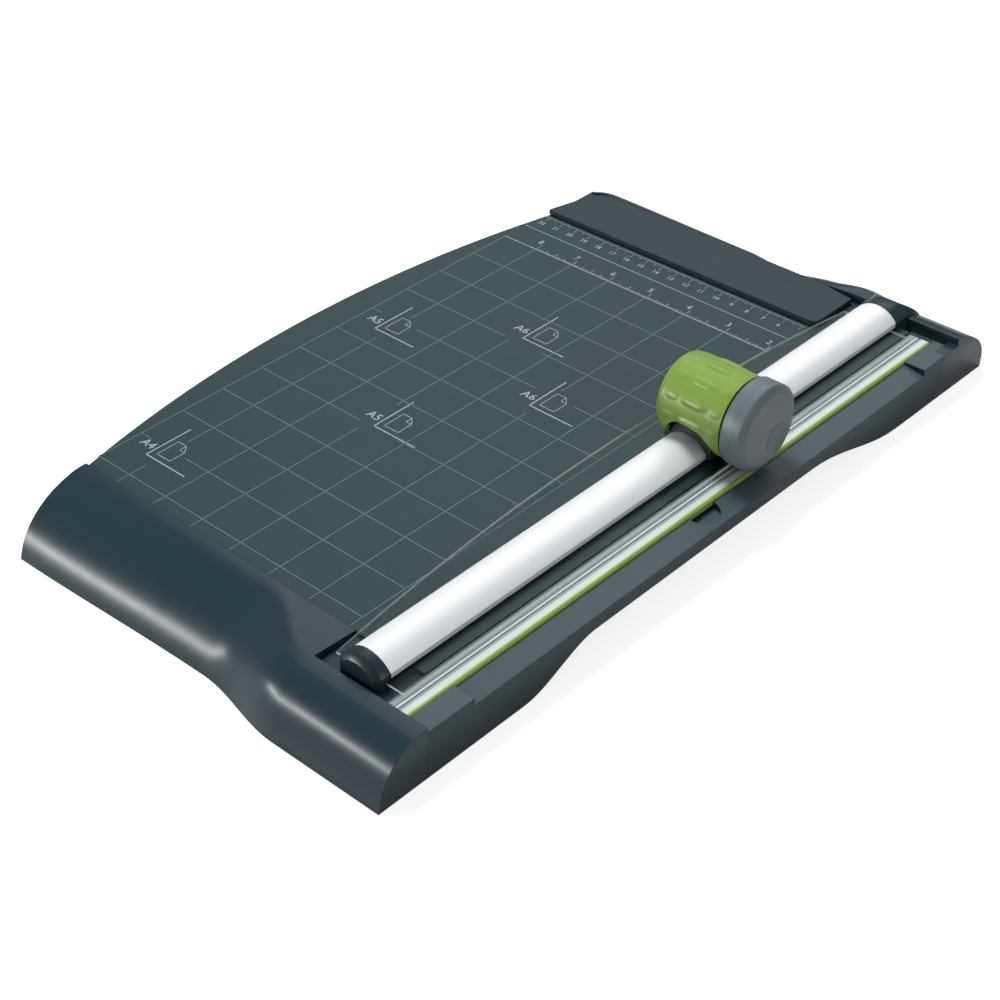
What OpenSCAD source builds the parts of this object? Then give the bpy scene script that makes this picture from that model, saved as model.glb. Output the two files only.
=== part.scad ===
// Rotary paper trimmer: a low bed with a printed grid, a domed rail over a clear clamp strip,
// and a carriage whose sprung head presses a round blade onto a replaceable cutting strip.
// +X points to the cut side, +Y to the far end with the paper stop, +Z up.
// The origin is on the ground under the middle of the base.

/* [Base] */
// Length of the base from the near end to the far end
base_l = 436; // [432:1:440]
// Width of the base over the bowed edge
base_w = 261.3; // [260:0.1:263]
// Height of the bed's top face above the ground
bed_h = 28; // [26:0.5:30]
// How far the bed's left edge bows out past its two ends
bow = 20; // [12:1:26]
// Thickness of the printed bed plate
bed_t = 2.5; // [2:0.5:3]
// Height of the arch under the cut side
arch_h = 16; // [12:1:17]
// Wall thickness of the end covers
cover_t = 2.6; // [2:0.2:3]

/* [Cut line] */
// Distance of the cut line from the cut side's edge
cut_edge = 18.3; // [18:0.1:19]
// Width of the green cutting strip
strip_w = 13; // [12:0.5:13]
// Thickness of the green cutting strip
strip_t = 3.4; // [3:0.1:3.5]
// Height of the slot that the sheets slide into
paper_gap = 1; // [0.8:0.1:1]

/* [Rail] */
// Width of the rail
rail_w = 23.2; // [23:0.1:23.3]
// Height of the rail's straight sides
rail_side_h = 2.4; // [2.4:0.1:2.6]
// Height of the rail's dome above its sides
rail_dome = 6; // [5.8:0.1:6.1]
// Thickness of the clear clamp strip
clamp_t = 1.2; // [1:0.1:1.2]

/* [Carriage] */
// Place of the carriage along the rail
carriage_y = 36.4; // [20:0.2:60]
// Radius of the green head cover
barrel_r = 21.4; // [21.2:0.1:21.5]
// Radius of the grey blade housing
disc_r = 21.5; // [21.4:0.1:21.6]
// Height of the head's axis above the bed
head_h = 22.7; // [22.7:0.1:23.2]
// Diameter of the rotary blade
blade_d = 28; // [28:1:28]
// How far the head travels down when it is pressed
press = 1; // [0.8:0.1:1]

/* [Hidden] */
$fn = 64;
eps = 0.01;
cut_over = 5;

// Plan of the base. Heights called rise_* are counted from the bed's top face.
near_out = -base_l / 2;
far_out = base_l / 2;
side_x = base_w / 2;
cut_x = side_x - cut_edge;
bed_near = near_out + 49.8;
stop_y = bed_near + 320.8;
stop_l = 34.5;
cover_near = stop_y + stop_l;
bed_far = cover_near + 3;
bed_left = bow - base_w / 2;
bed_mid = (bed_near + stop_y) / 2;
bow_chord = stop_y - bed_near;
bow_r = (bow_chord * bow_chord / 4 + bow * bow) / (2 * bow);
bow_x = bed_left - bow + bow_r;
side_t = 2.7;
side_draft = 3;
ends_left = bed_left - 1.2;

// Strip groove, ledge, pads and recess on the cut side
groove_clear = 0.15;
groove_l = cut_x - strip_w / 2 - groove_clear;
groove_r = cut_x + strip_w / 2 + groove_clear;
groove_z = bed_h - strip_t - 0.2;
recess_x = 66;
recess_y = near_out + 26.3;
recess_z = bed_h - 2;
pad_z = bed_h - 0.4;
pad_near_y = bed_near + 3;
pad_far_y = stop_y + 4.5;
pocket_y = stop_y + 28;
side_end = pocket_y - 5;
wall_in = side_x - side_draft - side_t;
ledge_in = bed_h - 2;
ledge_out = bed_h - 4.2;
notch_r = 8.8;
notch_y = bed_mid + 3;
notch_z = bed_h - 5.5;
skin = 2;
tray_z = bed_h - bed_t;
tray_bottom = arch_h;

// End covers: three control points of the shoulder curve, as [y, rise], at the left and the right
near_rise = 0.5;
far_rise = 3.4;
near_left = [[near_out + 46, 1.2], [near_out + 13, -6], [near_out + 5.5, -bed_h]];
near_right = [[near_out + 24.5, 1.8], [near_out + 0.8, 1.4], [near_out, -bed_h]];
far_left = [[cover_near + 1.5, 4.4], [far_out - 17, -2], [far_out - 4, -bed_h]];
far_right = [[cover_near + 2.7, 4.2], [far_out - 0.2, -7], [far_out, -bed_h]];
waist = 3;
waist_n = 6;
step_from = 14;
step_to = 66;
curve_n = 12;
station_n = 12;
// The far cover's crest dips, swells beside the rail and drops at its left end
dip_x = 24;
dip_w = 26;
dip_h = 2.8;
swell_x = 69;
swell_w = 22;
swell_h = 3;
end_w = 17;
end_drop = 8;

// Rail, clamp strip and carriage
clamp_z = bed_h + paper_gap;
rail_z = clamp_z + clamp_t;
rail_x = cut_x - 24.45;
rail_l = rail_x - rail_w / 2;
rail_r = rail_x + rail_w / 2;
rail_top = rail_z + rail_side_h + rail_dome;
rail_near = recess_y + 10.4;
rail_far = pocket_y + 2;
rail_wall = 1.3;
slot_z = rail_z + 0.6;
slot_h = 0.9;
slot_d = 0.9;
dome_r = (rail_w * rail_w / 4 + rail_dome * rail_dome) / (2 * rail_dome);
cap_l = 7.7;
plug_l = 9;
plug_clear = 0.1;
post_w = 16;
near_post_y = rail_near - cap_l + 2.6;
far_post_y = rail_far - 4.2;
rail_screw_r = 1.5;
clamp_near = rail_near - 2.9;
clamp_far = pocket_y - 7;
clamp_bow = 13.5;
clamp_left = rail_l - 5.2;
clamp_right = cut_x - 2.4;

saddle_half = 13.5;
saddle_wall = 0.9;
saddle_gap = 0.25;
saddle_x = cut_x - 20.6;
saddle_z = bed_h + 7;
saddle_r = 12.8;
saddle_top = saddle_z + saddle_r;
saddle_leg = bed_h + 8.5;
post_grip = rail_top + 0.9;
glide_clear = 0.08;
glide_l = 8;
axis_z = bed_h + head_h;
barrel_l = cut_x - 39.9;
barrel_r_end = cut_x - 1.4;
barrel_t = 2.2;
end_wall = 1.3;
move_gap = 0.3;
arch_x = cut_x - 20.4;
arch_z = bed_h + 7.8;
arch_r = 14;
arch_leg = saddle_leg + press + move_gap;
arch_left = rail_l - saddle_gap - saddle_wall - move_gap;
head_low = rail_z + press + move_gap;
post_pitch = 22;
guide_r = 1.5;
guide_clear = 0.06;
carrier_z = saddle_top + press + 0.7;
carrier_h = 9;
carrier_w = 32;
carrier_l = 15;
spring_r = 3.4;
spring_wire = 0.55;
spring_turns = 4;
spring_seat = 5;

// Blade and its housing
disc_in = barrel_r_end + 0.2;
disc_split = cut_x + 5.4;
disc_out = cut_x + 11.6;
face_r = 17.9;
blade_r = blade_d / 2;
blade_t = 0.3;
blade_low = bed_h + press - 0.4;
axle_z = blade_low + blade_r;
axle_r = 2;
axle_from = barrel_r_end - 5;
axle_clear = 0.05;
hub_r = 5;
hub_spigot = 3.5;
cavity_r = blade_r + 1.2;
clip_z = 0.6;

function lerp(a, b, t) = a + (b - a) * t;
function smooth(t) = t <= 0 ? 0 : t >= 1 ? 1 : t * t * (3 - 2 * t);
function bezier(p, t) = (1 - t) * (1 - t) * p[0] + 2 * t * (1 - t) * p[1] + t * t * p[2];
function bump(x, mid, w) = smooth(1 - abs(x - mid) / w);
function end_fall(x) = end_drop * (1 - sqrt(1 - pow(1 - min(1, (x - ends_left) / end_w), 2)));
function crest(x) = swell_h * bump(x, swell_x, swell_w) - dip_h * bump(x, dip_x, dip_w) - end_fall(x);
function blend(a, b, t) = [for (i = [0:2]) lerp(a[i], b[i], t)];
function shoulder(p) = [for (i = [0:curve_n]) bezier(p, i / curve_n) + [0, bed_h]];
function shrink(p, dir, t, inner_y) = [
    [dir * max(dir * p[0][0], dir * inner_y + 0.5), p[0][1] - t],
    p[1] + [-dir * t, -t],
    [p[2][0] - dir * t, p[2][1] - 2]
];

// Stations across an end cover: close together at the left end and where the front steps out
function stations(x0, x1) = concat(
    [for (d = [0, 1, 3.5, 8]) x0 + d],
    [for (i = [0:waist_n - 1]) lerp(x0 + end_w, step_from, i / waist_n)],
    [for (i = [0:station_n]) lerp(step_from, step_to, i / station_n)],
    [80, 95, x1]
);
// Raises or lowers the first two control points of a shoulder curve
function lift(p, h) = [p[0] + [0, h], p[1] + [0, h], p[2]];
// Closed section of an end cover, from its inner edge over the shoulder to the ground
function section(p, inner_y, inner_z, base_z) = concat(
    [[inner_y, base_z], [inner_y, inner_z]],
    shoulder([p[0], p[1], [p[2][0], base_z - bed_h]])
);
// The front draws in to a waist before it steps out
function draw_in(p, dir, s) = [p[0], p[1] - [dir * waist * s, 0], p[2] - [dir * waist * s, 0]];

module loft(xs, rings) {
    n = len(rings[0]);
    m = len(xs);
    points = [for (i = [0:m - 1]) for (q = rings[i]) [xs[i], q[0], q[1]]];
    sides = [
        for (i = [0:m - 2]) for (j = [0:n - 1])
            each [
                [i * n + j, i * n + (j + 1) % n, (i + 1) * n + j],
                [i * n + (j + 1) % n, (i + 1) * n + (j + 1) % n, (i + 1) * n + j]
            ]
    ];
    ends = [[for (j = [n - 1:-1:0]) j], [for (j = [0:n - 1]) (m - 1) * n + j]];
    polyhedron(points, concat(sides, ends), convexity = 6);
}

// Solid of an end cover between x0 and x1; t shrinks it to make the hollow
module cover_solid(left, right, dir, x0, x1, inner_y, t, base_z) {
    xs = stations(x0, x1);
    rings = [
        for (x = xs)
            let (w = smooth((x - ends_left) / (step_from - ends_left)))
            let (s = smooth((x - step_from) / (step_to - step_from)))
            let (p0 = blend(draw_in(left, dir, w), right, s))
            let (p = dir > 0 ? lift(p0, crest(x)) : p0)
            let (rise = dir < 0 ? near_rise : far_rise)
            let (inner_z = bed_h + min(rise, p[0][1]) - t)
            section(t > 0 ? shrink(p, dir, t, inner_y) : p, inner_y, inner_z, base_z)
    ];
    if (dir < 0) {
        loft(xs, [for (r = rings) [for (j = [len(r) - 1:-1:0]) r[j]]]);
    } else {
        loft(xs, rings);
    }
}

// Slanting sides that the two end covers and the side wall share
module envelope() {
    along_y(near_out - cut_over, far_out + cut_over) polygon([
        [ends_left, bed_h + 10], [ends_left, bed_h - 4], [ends_left + side_draft, -1],
        [side_x - side_draft, -1], [side_x, bed_h - 4], [side_x, bed_h + 10]
    ]);
}

module block(x0, x1, y0, y1, z0, z1) {
    translate([x0, y0, z0]) cube([x1 - x0, y1 - y0, z1 - z0]);
}

module rod_x(r, x0, x1, y, z) {
    translate([x0, y, z]) rotate([0, 90, 0]) cylinder(r = r, h = x1 - x0);
}

module rod_z(r, x, y, z0, z1) {
    translate([x, y, z0]) cylinder(r = r, h = z1 - z0);
}

// Profile in the XZ plane, extruded along Y
module along_y(y0, y1) {
    translate([0, y1, 0]) rotate([90, 0, 0]) linear_extrude(y1 - y0) children();
}

// Profile in the YZ plane, extruded along X
module along_x(x0, x1) {
    translate([x0, 0, 0]) rotate([90, 0, 90]) linear_extrude(x1 - x0) children();
}

// Plan of the bed: bowed between the near end and the stop, straight beside the stop
module bed_outline(inset, right) {
    intersection() {
        union() {
            translate([bow_x, bed_mid]) circle(r = bow_r - inset, $fn = 256);
            translate([bed_left + inset, stop_y]) square([100, bed_far - stop_y]);
        }
        translate([bed_left - bow, bed_near]) square([right - bed_left + bow, bed_far - bed_near]);
    }
}

module bed_plate() {
    color("#4a5659")
        difference() {
            translate([0, 0, tray_z]) linear_extrude(bed_t) bed_outline(0, groove_l);
            rod_z(rail_screw_r, rail_x, far_post_y, tray_z - eps, bed_h + eps);
            block(rail_r + 0.6, groove_l + 1, pocket_y + 1, bed_far + 1, tray_z - 1, bed_h + 1);
        }
}

// Outline of the side wall in the YZ plane, with the arch between its two feet
module side_wall_outline() {
    ramp_n = 10;
    foot_near = near_out + 86;
    foot_far = far_out - 76;
    near_ramp = 42;
    far_ramp = 76;
    near_pts = [
        for (i = [0:ramp_n])
            [foot_near + near_ramp * i / ramp_n, arch_h * smooth(i / ramp_n)]
    ];
    far_pts = [
        for (i = [0:ramp_n])
            [foot_far - far_ramp * (1 - i / ramp_n), arch_h * (1 - smooth(i / ramp_n))]
    ];
    polygon(concat(
        [[recess_y, 0]],
        near_pts,
        far_pts,
        [[side_end, 0], [side_end, ledge_out], [recess_y, ledge_out]]
    ));
}

module side_wall() {
    intersection() {
        along_x(wall_in, side_x) side_wall_outline();
        envelope();
    }
}

// Bar on the cut side that holds the groove, the ledge and the two pads
module cut_side_bar() {
    bar_left = groove_l - 4;
    difference() {
        union() {
            along_y(recess_y, side_end) polygon([
                [bar_left, tray_bottom], [bar_left, pad_z], [side_x, pad_z],
                [side_x, bed_h - 4], [side_x - 1.2, tray_bottom]
            ]);
            block(bar_left, wall_in, side_end - eps, cover_near, tray_bottom, pad_z);
            block(recess_x, bar_left + 1, recess_y, bed_near, tray_bottom, recess_z);
        }
        along_y(pad_near_y, pad_far_y) polygon([
            [groove_r - eps, ledge_in], [side_x + 1, ledge_out],
            [side_x + 1, bed_h + 5], [groove_r - eps, bed_h + 5]
        ]);
        block(groove_l, groove_r, recess_y - eps, pocket_y, groove_z, bed_h + 5);
        block(bar_left - eps, groove_l + eps, bed_near, cover_near + eps, tray_z, bed_h + 5);
        block(bar_left - eps, groove_l + eps, recess_y - eps, bed_near + eps, recess_z, bed_h + 5);
        rod_z(notch_r, groove_r, notch_y, notch_z, bed_h + 5);
        // Pocket beside the rail's far end and trench along the far cover
        block(bar_left - eps, groove_l + eps, pocket_y, cover_near + eps, bed_h - 6, bed_h + 5);
        block(groove_l, cut_x + 16, cover_near - 3.4, cover_near + eps, bed_h - 4, bed_h + 5);
        block(bar_left + 3, wall_in - 2, recess_y + 3, cover_near - 3, tray_bottom - eps, notch_z - skin);
        block(recess_x + 3, bar_left, recess_y + 2, bed_near - 3, tray_bottom - eps, recess_z - skin);
        rod_z(rail_screw_r, rail_x, near_post_y, tray_bottom - eps, bed_h);
    }
}

// Shallow tray under the bed plate, open below, with cross ribs
module tray() {
    inset = 1.4;
    wall = 3;
    rib_n = 5;
    rib_t = 2;
    right = groove_l - 4;
    difference() {
        translate([0, 0, tray_bottom]) linear_extrude(tray_z - tray_bottom) bed_outline(inset, right);
        translate([0, 0, tray_bottom - eps]) linear_extrude(tray_z - tray_bottom - skin)
            difference() {
                intersection() {
                    bed_outline(inset + wall, right - wall);
                    translate([bed_left - bow, bed_near + wall])
                        square([400, bed_far - bed_near - 2 * wall]);
                }
                for (i = [1:rib_n])
                    translate([bed_left - bow, lerp(bed_near, bed_far, i / (rib_n + 1))])
                        square([400, rib_t]);
                translate([rail_x - post_w / 2, far_post_y - 5]) square([post_w, 10]);
                for (x = [-60, 10]) translate([x, bed_near]) square([rib_t, bed_far - bed_near]);
            }
        rod_z(rail_screw_r, rail_x, far_post_y, tray_bottom - 1, bed_h);
    }
}

module chassis() {
    color("#39464a")
        union() {
            tray();
            cut_side_bar();
            side_wall();
        }
}

module near_end_cover() {
    color("#33434a")
        difference() {
            intersection() {
                cover_solid(near_left, near_right, -1, ends_left, side_x, bed_near, 0, 0);
                envelope();
            }
            difference() {
                cover_solid(near_left, near_right, -1, ends_left + side_draft + cover_t, wall_in,
                    bed_near - cover_t, cover_t, -2);
                block(recess_x - cover_t, side_x, recess_y - cover_t, bed_near + 1, -3, bed_h + 10);
                screw_bosses(near_screw_y);
            }
            block(recess_x, side_x + 1, recess_y, bed_near + 1, -1, bed_h + 10);
            screw_bores(near_screw_y, screw_top);
        }
}

module far_end_cover() {
    hood = 0.6;
    hood_near = pocket_y - 3;
    hood_far = cover_near + 12;
    fall_l = hood_far - rail_far - 1;
    fall_n = 6;
    color("#33434a")
        difference() {
            union() {
                difference() {
                    intersection() {
                        cover_solid(far_left, far_right, 1, ends_left, side_x, cover_near, 0, 0);
                        corner_rounding();
                        envelope();
                    }
                    difference() {
                        cover_solid(far_left, far_right, 1, ends_left + side_draft + cover_t, wall_in,
                            cover_near + cover_t, cover_t, -2);
                        screw_bosses(far_screw_y);
                    }
                }
                intersection() {
                    block(wall_in, side_x, side_end, cover_near + 1, 0, pad_z);
                    envelope();
                }
                // Hood round the far end of the rail, falling to the cover behind it
                intersection() {
                    along_y(hood_near, hood_far) union() {
                        rail_outline(-hood);
                        translate([rail_l - hood, bed_h]) square([rail_w + 2 * hood, rail_z - bed_h]);
                    }
                    translate([rail_l - cut_over, 0, 0]) rotate([90, 0, 90])
                        linear_extrude(rail_w + 2 * cut_over) polygon(concat(
                            [[hood_near, bed_h], [hood_near, rail_top + hood]],
                            [for (i = [0:fall_n]) let (d = i * fall_l / fall_n)
                                [rail_far + 1 + d, rail_top + 0.5 - 0.25 * d - 0.03 * d * d]],
                            [[hood_far, bed_h]]
                        ));
                }
            }
            // Room for the bed, the chassis bar, the rail and its post
            block(ends_left - 1, wall_in, cover_near - 1, bed_far, tray_bottom - 1, bed_h);
            along_y(hood_near - 1, rail_far) rail_outline(0);
            block(rail_x - post_w / 2, rail_x + post_w / 2, hood_near - 1, rail_far, bed_h - 1, rail_z + 1);
            screw_bores(far_screw_y, screw_top);
        }
}

// Plan that rounds the far cover's two outer corners
module corner_rounding() {
    r = 15;
    r_cut = 3;
    translate([0, 0, -1]) linear_extrude(bed_h + 12) union() {
        translate([ends_left, 0]) square([side_x - ends_left, far_out - r]);
        translate([ends_left + r, far_out - r - 1]) square([side_x - ends_left - r - r_cut, r + 2]);
        translate([side_x - 20, far_out - 20]) square([20, 20 - r_cut]);
        translate([ends_left + r, far_out - r]) circle(r = r);
        translate([side_x - r_cut, far_out - r_cut]) circle(r = r_cut);
    }
}

// Plates that close the two end covers from below, their screws and the bosses in the covers
screw_xs = [-96, 6, 104];
plate_z = 1;
plate_t = 2.5;
plate_gap = 0.6;
plate_left = ends_left + side_draft + cover_t + plate_gap;
plate_right = wall_in - plate_gap;
near_screw_y = near_out + 18.5;
far_screw_y = far_out - 19.5;
boss_r = 4;
base_screw_r = 1.5;
screw_top = 11;
head_r = 2.7;
head_z = 1.8;

module screw_bosses(y) {
    for (x = screw_xs) rod_z(boss_r, x, y, plate_z + plate_t, bed_h + 5);
}

module screw_bores(y, top) {
    for (x = screw_xs) rod_z(base_screw_r, x, y, -1, top);
}

module base_plate(y0, y1, screw_y) {
    difference() {
        block(plate_left, plate_right, y0, y1, plate_z, plate_z + plate_t);
        screw_bores(screw_y, screw_top);
        for (x = screw_xs) rod_z(head_r + 0.3, x, screw_y, 0, head_z);
    }
}

module near_base_plate() {
    in = cover_t + plate_gap;
    color("#2b3236")
        difference() {
            base_plate(near_out + 14.2, bed_near - in, near_screw_y);
            block(recess_x - in, side_x, recess_y - in, bed_near, 0, 10);
        }
}

module far_base_plate() {
    color("#2b3236") base_plate(cover_near + cover_t + plate_gap, far_out - 13.5, far_screw_y);
}

module base_screws() {
    color("#9aa0a3")
        for (y = [near_screw_y, far_screw_y]) for (x = screw_xs) {
            rod_z(base_screw_r, x, y, head_z, screw_top);
            rod_z(head_r, x, y, head_z - 1.2, head_z);
        }
}

foot_r = 5;

module rubber_feet() {
    color("#1d1f20")
        for (y = [near_screw_y, far_screw_y]) for (x = [ends_left + 32, side_x - 44])
            rod_z(foot_r, x, y, 0, plate_z);
}

module paper_stop() {
    corner = 4;
    stop_right = rail_l - 8;
    gap_from = stop_right - 20;
    gap_end = 3;
    lip = 1.2;
    color("#3c484c")
        difference() {
            translate([0, 0, bed_h]) linear_extrude(far_rise) union() {
                polygon([
                    [bed_left, stop_y], [stop_right - corner, stop_y],
                    [stop_right, stop_y + corner], [stop_right, cover_near - gap_end],
                    [gap_from, cover_near], [bed_left + 17, cover_near],
                    [bed_left + 11, cover_near - 2], [bed_left + 6.5, cover_near - 8],
                    [bed_left + 0.6, stop_y + 3]
                ]);
                translate([stop_right - corner, stop_y + corner]) circle(r = corner);
            }
            block(bed_left - 1, stop_right - corner, stop_y - 1, stop_y + lip, bed_h - 1, bed_h + 0.8);
        }
}

module cutting_strip() {
    cut_groove_w = 0.8;
    cut_groove_d = 0.7;
    chamfer = 0.7;
    z0 = groove_z;
    z1 = groove_z + strip_t;
    color("#8caa41")
        along_y(recess_y + 0.4, pocket_y - 0.4) polygon([
            [cut_x - strip_w / 2, z0], [cut_x + strip_w / 2, z0],
            [cut_x + strip_w / 2, z1 - chamfer], [cut_x + strip_w / 2 - chamfer, z1],
            [cut_x + cut_groove_w / 2, z1], [cut_x + cut_groove_w / 2, z1 - cut_groove_d],
            [cut_x - cut_groove_w / 2, z1 - cut_groove_d], [cut_x - cut_groove_w / 2, z1],
            [cut_x - strip_w / 2 + chamfer, z1], [cut_x - strip_w / 2, z1 - chamfer]
        ]);
}

// Clear strip: its left edge bows out like the bed's
module clamp_strip() {
    chord = clamp_far - clamp_near;
    r = (chord * chord / 4 + clamp_bow * clamp_bow) / (2 * clamp_bow);
    mid = (clamp_far + clamp_near) / 2;
    color("lightblue", 0.5)
        translate([0, 0, clamp_z]) linear_extrude(clamp_t) intersection() {
            translate([clamp_left - clamp_bow, clamp_near])
                square([clamp_right - clamp_left + clamp_bow, chord]);
            translate([clamp_left - clamp_bow + r, mid]) circle(r = r, $fn = 256);
        }
}

module rail_outline(inset) {
    intersection() {
        translate([rail_l + inset, rail_z + inset])
            square([rail_w - 2 * inset, rail_side_h + rail_dome - 2 * inset]);
        translate([rail_x, rail_top - dome_r]) circle(r = dome_r - inset, $fn = 128);
    }
}

module rail() {
    color("#d9dcdd")
        difference() {
            along_y(rail_near, rail_far) difference() {
                rail_outline(0);
                intersection() {
                    rail_outline(rail_wall);
                    translate([rail_l + slot_d + rail_wall, 0])
                        square([rail_w - 2 * slot_d - 2 * rail_wall, 100]);
                }
                for (x = [rail_l - eps, rail_r - slot_d])
                    translate([x, slot_z]) square([slot_d + eps, slot_h]);
            }
            rod_z(rail_screw_r, rail_x, far_post_y, rail_z - 1, rail_z + rail_wall + 1);
        }
}

// Tongue that fills the rail's hollow at one end
module rail_tongue(y0, y1) {
    along_y(y0, y1) intersection() {
        rail_outline(rail_wall + plug_clear);
        translate([rail_l + slot_d + rail_wall + plug_clear, 0])
            square([rail_w - 2 * (slot_d + rail_wall + plug_clear), 100]);
    }
}

// Near cap: stands on the recess floor, proud of the rail all round, and stops the carriage
module rail_near_cap() {
    proud = 0.4;
    color("#4c565b")
        difference() {
            union() {
                along_y(rail_near - cap_l, rail_near) union() {
                    rail_outline(-proud);
                    translate([rail_l - proud, recess_z])
                        square([rail_w + 2 * proud, rail_z + 1 - recess_z]);
                }
                rail_tongue(rail_near - 1, rail_near + plug_l);
            }
            // Slot that holds the end of the clear strip
            block(rail_l - 1, rail_r + 1, clamp_near, rail_near + 1, clamp_z - 0.1, rail_z);
            rod_z(rail_screw_r, rail_x, near_post_y, recess_z - 1, rail_z + 4);
        }
}

module rail_far_plug() {
    color("#4c565b")
        difference() {
            rail_tongue(rail_far - plug_l, rail_far);
            rod_z(rail_screw_r, rail_x, far_post_y, rail_z - 1, rail_z + 4);
        }
}

module rail_far_post() {
    half = 4;
    color("#39464a")
        difference() {
            block(rail_x - post_w / 2, rail_x + post_w / 2,
                far_post_y - half, far_post_y + half, bed_h, rail_z);
            rod_z(rail_screw_r, rail_x, far_post_y, bed_h - 1, rail_z + 1);
        }
}

module rail_screw(y, head_z) {
    rod_z(rail_screw_r, rail_x, y, head_z, rail_z + 4);
    rod_z(rail_screw_r * 1.8, rail_x, y, head_z - 1.6, head_z);
}

module rail_screws() {
    color("#9aa0a3") {
        rail_screw(near_post_y, recess_z - skin);
        rail_screw(far_post_y, tray_bottom);
    }
}

module carriage_saddle() {
    y0 = carriage_y - saddle_half;
    y1 = carriage_y + saddle_half;
    low = rail_z + 0.4;
    out = saddle_gap + saddle_wall;
    color("#454d51")
        difference() {
            along_y(y0, y1) difference() {
                union() {
                    intersection() {
                        translate([saddle_x, saddle_z]) circle(r = saddle_r);
                        translate([rail_l, low]) square([rail_w + 2.6, saddle_top - low]);
                    }
                    translate([rail_l - out, low])
                        square([saddle_x - rail_l + out, saddle_leg - low]);
                    translate([saddle_x, low]) square([rail_r + out - saddle_x, saddle_z - low]);
                }
                rail_outline(-saddle_gap);
                translate([rail_l - saddle_gap, 0]) square([rail_w + 2 * saddle_gap, rail_z + 1]);
            }
            // Windows for the four glide pads
            for (y = [y0 + 2, y1 - 2 - glide_l])
                block(rail_l - out - 1, rail_r + out, y, y + glide_l, low - 1, slot_z + 2);
            for (s = [-1, 1])
                rod_z(guide_r, saddle_x, carriage_y + s * post_pitch / 2, post_grip, saddle_top + 1);
            rod_z(spring_seat, saddle_x, carriage_y, saddle_top - 1.2, saddle_top + 1);
        }
}

// Pads that run in the rail's two side grooves
module glide_pads() {
    y0 = carriage_y - saddle_half + 2;
    y1 = carriage_y + saddle_half - 2 - glide_l;
    out = saddle_gap + saddle_wall;
    tongue_z = slot_z + glide_clear;
    color("white")
        for (y = [y0, y1]) for (side = [0, 1]) {
            translate([rail_x, y, 0]) mirror([side, 0, 0]) union() {
                block(-rail_w / 2 - out, -rail_w / 2 - glide_clear, 0, glide_l, rail_z + 0.4, slot_z + 2);
                block(-rail_w / 2 - glide_clear - eps, -rail_w / 2 + slot_d - glide_clear, 0, glide_l,
                    tongue_z, slot_z + slot_h - glide_clear);
            }
        }
}

module guide_posts() {
    color("#c4c8ca")
        for (s = [-1, 1])
            rod_z(guide_r, saddle_x, carriage_y + s * post_pitch / 2, post_grip, carrier_z + carrier_h - 1);
}

// Compression spring wound by rule: a wire swept round a helix
module return_spring() {
    z0 = saddle_top - 1.2 + spring_wire;
    z1 = carrier_z + 4 - spring_wire;
    steps = 20;
    sides = 6;
    total = steps * spring_turns;
    points = [
        for (i = [0:total]) for (j = [0:sides - 1])
            let (a = 360 * i / steps)
            let (b = 360 * j / sides)
            let (r = spring_r + spring_wire * cos(b))
            [r * cos(a), r * sin(a), lerp(z0, z1, i / total) + spring_wire * sin(b)]
    ];
    walls = [
        for (i = [0:total - 1]) for (j = [0:sides - 1])
            each [
                [i * sides + j, (i + 1) * sides + j, i * sides + (j + 1) % sides],
                [(i + 1) * sides + j, (i + 1) * sides + (j + 1) % sides, i * sides + (j + 1) % sides]
            ]
    ];
    ends = [[for (j = [0:sides - 1]) j], [for (j = [sides - 1:-1:0]) total * sides + j]];
    color("#c4c8ca")
        translate([saddle_x, carriage_y, 0]) polyhedron(points, concat(walls, ends), convexity = 10);
}

module head_cover() {
    edge = 5;
    x1 = barrel_r_end - barrel_t - 0.8;
    tunnel = 30;
    color("#8caa41")
        difference() {
            barrel(barrel_r, barrel_l, barrel_r_end, edge);
            barrel(barrel_r - barrel_t, barrel_l + end_wall, x1, edge - end_wall);
            // Arch that lets the rail and the saddle through
            along_y(carriage_y - tunnel, carriage_y + tunnel) union() {
                translate([arch_x, arch_z]) circle(r = arch_r);
                translate([arch_left, 0]) square([arch_x - arch_left, arch_leg]);
                translate([arch_x, 0]) square([arch_r, arch_z]);
            }
            block(barrel_l - 1, barrel_r_end + 1, carriage_y - tunnel, carriage_y + tunnel, 0, head_low);
            rod_x(axle_r, x1 - 1, barrel_r_end + 1, carriage_y, axle_z);
            for (s = [-1, 1]) {
                rod_x(carrier_screw_r, x1 - 1, barrel_r_end + 1, carriage_y + s * 10, carrier_z + 5);
                rod_x(carrier_screw_r * 2, barrel_r_end - 1.6, barrel_r_end + 1,
                    carriage_y + s * 10, carrier_z + 5);
            }
        }
}

// Barrel along X with a rounded left end
module barrel(r, x0, x1, edge) {
    translate([x0, carriage_y, axis_z]) rotate([0, 90, 0]) rotate_extrude($fn = 96) union() {
        square([r - edge, x1 - x0]);
        translate([0, edge]) square([r, x1 - x0 - edge]);
        intersection() {
            translate([r - edge, edge]) circle(r = edge);
            square([r, edge]);
        }
    }
}

carrier_screw_r = 1.25;

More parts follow.
